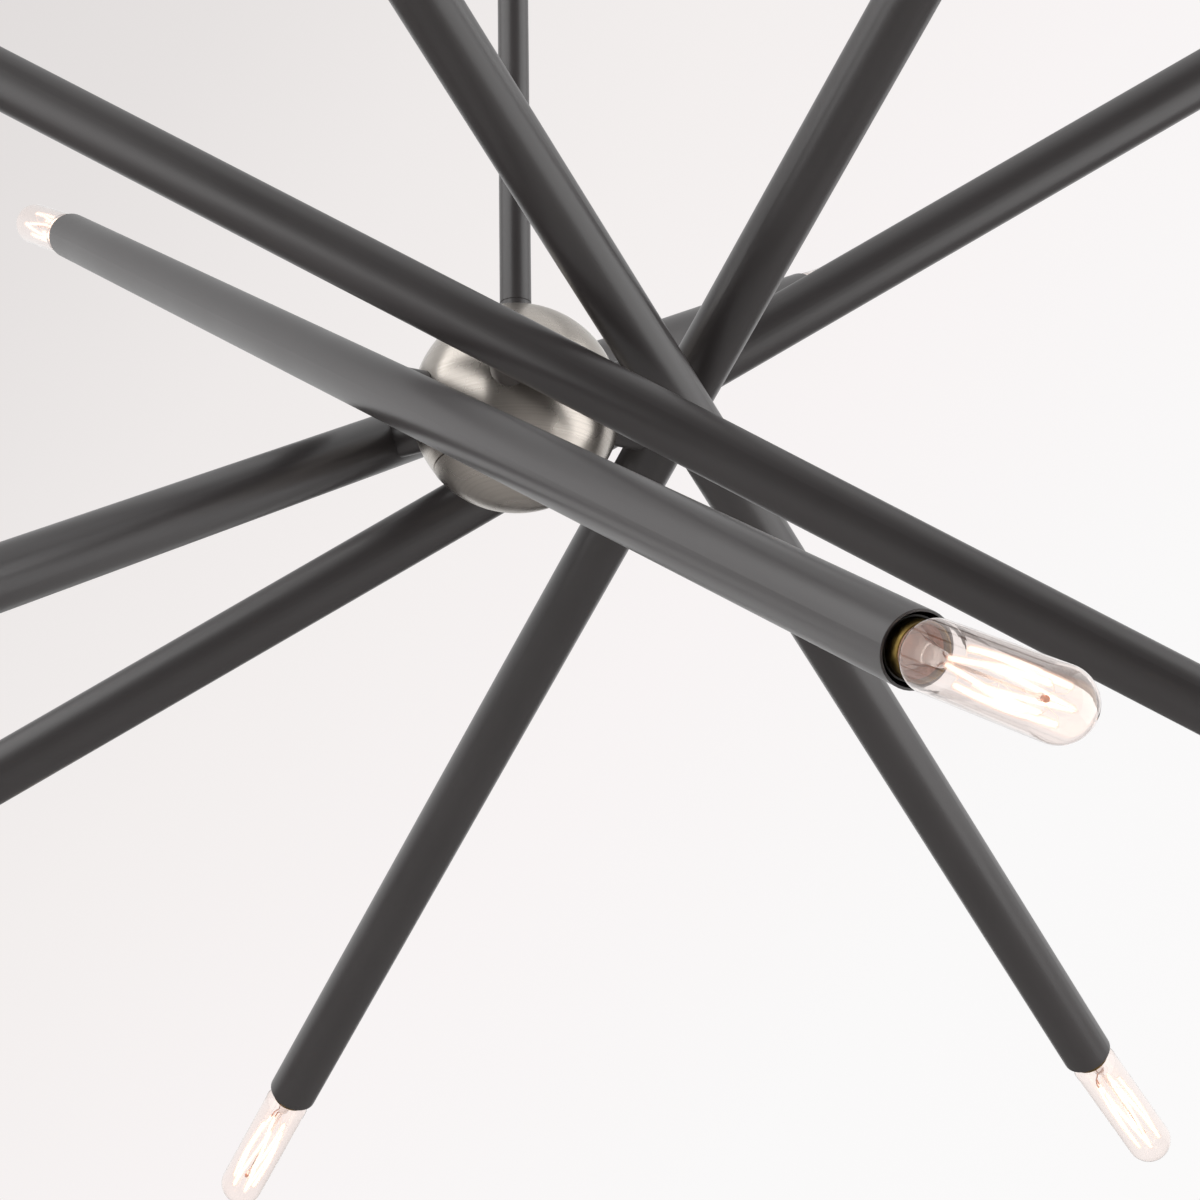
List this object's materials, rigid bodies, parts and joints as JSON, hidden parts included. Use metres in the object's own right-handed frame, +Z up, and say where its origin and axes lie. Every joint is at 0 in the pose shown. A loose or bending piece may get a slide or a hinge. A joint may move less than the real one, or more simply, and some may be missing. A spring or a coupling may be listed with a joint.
{
  "type": "sputnik chandelier",
  "caption": "Sputnik chandelier: long dark tubes crossing round a nickel ball on short bosses, tilted alike, a tubular filament lamp in each end, hung on a swivel stem from a round canopy.",
  "frame": {"origin": "centre of the two ceiling box slots, in the crossbar's top face and the plane of the canopy's rim", "axes": "+Z up into the ceiling, the chandelier hangs towards -Z; X along the crossbar; the second tube (b) is nearest the viewer on the -Y side"},
  "size_m": [1.3448, 1.2853, 1.2487],
  "materials": {
    "dark_paint": "satin",
    "nickel": "brushed",
    "zinc_steel": "satin",
    "holder_black": "matte",
    "lamp_glass": "clear",
    "lamp_brass": "satin"
  },
  "bodies": {
    "ceiling_mount": {"crossbar": "zinc_steel", "canopy": "dark_paint", "canopy_screws": "zinc_steel", "hanger_nipple": "zinc_steel", "nipple_nuts": "zinc_steel"},
    "swivel": {"swivel_turret": "dark_paint", "pivot_pin": "zinc_steel"},
    "pendulum": {"stem_knuckle": "dark_paint", "stem_upper": "dark_paint", "stem_coupler": "zinc_steel", "stem_lower": "dark_paint", "hub_collar": "dark_paint", "hub_ball": "nickel", "hub_nuts": "zinc_steel"},
    "cap": {"bottom_cap": "nickel"},
    "arm_a": {"tube_a": "dark_paint", "boss_a": "nickel", "holders_a": "holder_black"},
    "lamp_a_low": {"glass_a_low": "lamp_glass", "base_a_low": "lamp_brass"},
    "lamp_a_high": {"glass_a_high": "lamp_glass", "base_a_high": "lamp_brass"},
    "arm_b": {"tube_b": "dark_paint", "boss_b": "nickel", "holders_b": "holder_black"},
    "lamp_b_low": {"glass_b_low": "lamp_glass", "base_b_low": "lamp_brass"},
    "lamp_b_high": {"glass_b_high": "lamp_glass", "base_b_high": "lamp_brass"},
    "arm_c": {"tube_c": "dark_paint", "boss_c": "nickel", "holders_c": "holder_black"},
    "lamp_c_low": {"glass_c_low": "lamp_glass", "base_c_low": "lamp_brass"},
    "lamp_c_high": {"glass_c_high": "lamp_glass", "base_c_high": "lamp_brass"},
    "arm_d": {"tube_d": "dark_paint", "boss_d": "nickel", "holders_d": "holder_black"},
    "lamp_d_low": {"glass_d_low": "lamp_glass", "base_d_low": "lamp_brass"},
    "lamp_d_high": {"glass_d_high": "lamp_glass", "base_d_high": "lamp_brass"},
    "arm_e": {"tube_e": "dark_paint", "boss_e": "nickel", "holders_e": "holder_black"},
    "lamp_e_low": {"glass_e_low": "lamp_glass", "base_e_low": "lamp_brass"},
    "lamp_e_high": {"glass_e_high": "lamp_glass", "base_e_high": "lamp_brass"},
    "arm_f": {"tube_f": "dark_paint", "boss_f": "nickel", "holders_f": "holder_black"},
    "lamp_f_low": {"glass_f_low": "lamp_glass", "base_f_low": "lamp_brass"},
    "lamp_f_high": {"glass_f_high": "lamp_glass", "base_f_high": "lamp_brass"}
  },
  "joints": [
    {"name": "swivel_yaw", "type": "hinge", "parent": "ceiling_mount", "child": "swivel", "pos_m": [0, 0, -0.03], "axis": [0, 0, 1], "range_deg": [-170, 170]},
    {"name": "stem_tilt", "type": "hinge", "parent": "swivel", "child": "pendulum", "pos_m": [0, 0, -0.05], "axis": [0, 1, 0], "range_deg": [-25, 25]},
    {"name": "cap_off", "type": "slide", "parent": "pendulum", "child": "cap", "axis": [0, 0, -1], "range_m": [0, 0.06]},
    {"name": "arm_turn_a", "type": "hinge", "parent": "pendulum", "child": "arm_a", "pos_m": [-0.08747, -0.0505, -0.843], "axis": [0.866, 0.5, 0], "range_deg": [-8, 60]},
    {"name": "lamp_out_a_low", "type": "slide", "parent": "arm_a", "child": "lamp_a_low", "axis": [0.4389, -0.7671, -0.4679], "range_m": [0, 0.04]},
    {"name": "lamp_out_a_high", "type": "slide", "parent": "arm_a", "child": "lamp_a_high", "axis": [-0.431, 0.764, 0.4802], "range_m": [0, 0.04]},
    {"name": "arm_turn_b", "type": "hinge", "parent": "pendulum", "child": "arm_b", "pos_m": [0, -0.101, -0.843], "axis": [0, 1, 0], "range_deg": [-8, 60]},
    {"name": "lamp_out_b_low", "type": "slide", "parent": "arm_b", "child": "lamp_b_low", "axis": [0.859, 0, -0.512], "range_m": [0, 0.04]},
    {"name": "lamp_out_b_high", "type": "slide", "parent": "arm_b", "child": "lamp_b_high", "axis": [-0.859, 0, 0.512], "range_m": [0, 0.04]},
    {"name": "arm_turn_c", "type": "hinge", "parent": "pendulum", "child": "arm_c", "pos_m": [0.08747, -0.0505, -0.843], "axis": [-0.866, 0.5, 0], "range_deg": [-8, 60]},
    {"name": "lamp_out_c_low", "type": "slide", "parent": "arm_c", "child": "lamp_c_low", "axis": [0.4705, 0.7521, -0.4615], "range_m": [0, 0.04]},
    {"name": "lamp_out_c_high", "type": "slide", "parent": "arm_c", "child": "lamp_c_high", "axis": [-0.4373, -0.7574, 0.4848], "range_m": [0, 0.04]},
    {"name": "arm_turn_d", "type": "hinge", "parent": "pendulum", "child": "arm_d", "pos_m": [0.08747, 0.0505, -0.843], "axis": [-0.866, -0.5, 0], "range_deg": [-8, 60]},
    {"name": "lamp_out_d_low", "type": "slide", "parent": "arm_d", "child": "lamp_d_low", "axis": [-0.4465, 0.7349, -0.5104], "range_m": [0, 0.04]},
    {"name": "lamp_out_d_high", "type": "slide", "parent": "arm_d", "child": "lamp_d_high", "axis": [0.439, -0.7604, 0.4787], "range_m": [0, 0.04]},
    {"name": "arm_turn_e", "type": "hinge", "parent": "pendulum", "child": "arm_e", "pos_m": [0, 0.101, -0.843], "axis": [0, -1, 0], "range_deg": [-8, 60]},
    {"name": "lamp_out_e_low", "type": "slide", "parent": "arm_e", "child": "lamp_e_low", "axis": [-0.8625, 0, -0.506], "range_m": [0, 0.04]},
    {"name": "lamp_out_e_high", "type": "slide", "parent": "arm_e", "child": "lamp_e_high", "axis": [0.8625, 0, 0.506], "range_m": [0, 0.04]},
    {"name": "arm_turn_f", "type": "hinge", "parent": "pendulum", "child": "arm_f", "pos_m": [-0.08747, 0.0505, -0.843], "axis": [0.866, -0.5, 0], "range_deg": [-8, 60]},
    {"name": "lamp_out_f_low", "type": "slide", "parent": "arm_f", "child": "lamp_f_low", "axis": [-0.4369, -0.7567, -0.4863], "range_m": [0, 0.04]},
    {"name": "lamp_out_f_high", "type": "slide", "parent": "arm_f", "child": "lamp_f_high", "axis": [0.4369, 0.7567, 0.4863], "range_m": [0, 0.04]}
  ]
}
